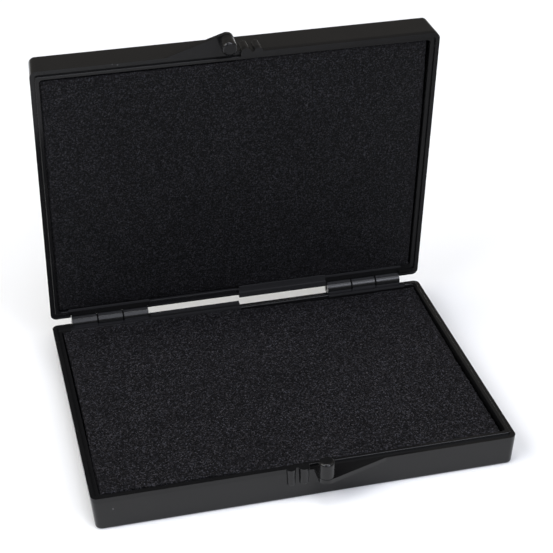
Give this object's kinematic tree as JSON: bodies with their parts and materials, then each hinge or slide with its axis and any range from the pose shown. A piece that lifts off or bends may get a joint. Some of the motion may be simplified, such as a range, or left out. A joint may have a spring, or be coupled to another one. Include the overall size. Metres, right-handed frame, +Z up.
{
  "type": "hinged foam-lined component box",
  "caption": "Small shallow hinged box of conductive plastic, open, with a soft foam pad filling each half, knuckle hinges along the back edge and a post latch on the front edge.",
  "frame": {"origin": "centre of the base's underside, on the surface that the box stands on", "axes": "+Z up, +X to the right along the hinge, +Y to the back, where the hinges are; the latch is on the -Y side"},
  "size_m": [0.0966, 0.0855, 0.0853],
  "materials": {
    "shell_plastic": "satin",
    "pad_foam": "matte",
    "pin_steel": "satin"
  },
  "bodies": {
    "base": {"base_shell": "shell_plastic", "base_foam_pad": "pad_foam", "left_hinge_pin": "pin_steel"},
    "lid": {"lid_shell": "shell_plastic", "lid_foam_pad": "pad_foam", "right_hinge_pin": "pin_steel"}
  },
  "joints": [
    {"name": "lid_hinge", "type": "hinge", "parent": "base", "child": "lid", "pos_m": [0, 0.03717, 0.00794], "axis": [-1, 0, 0], "range_deg": [-82, 98]}
  ]
}
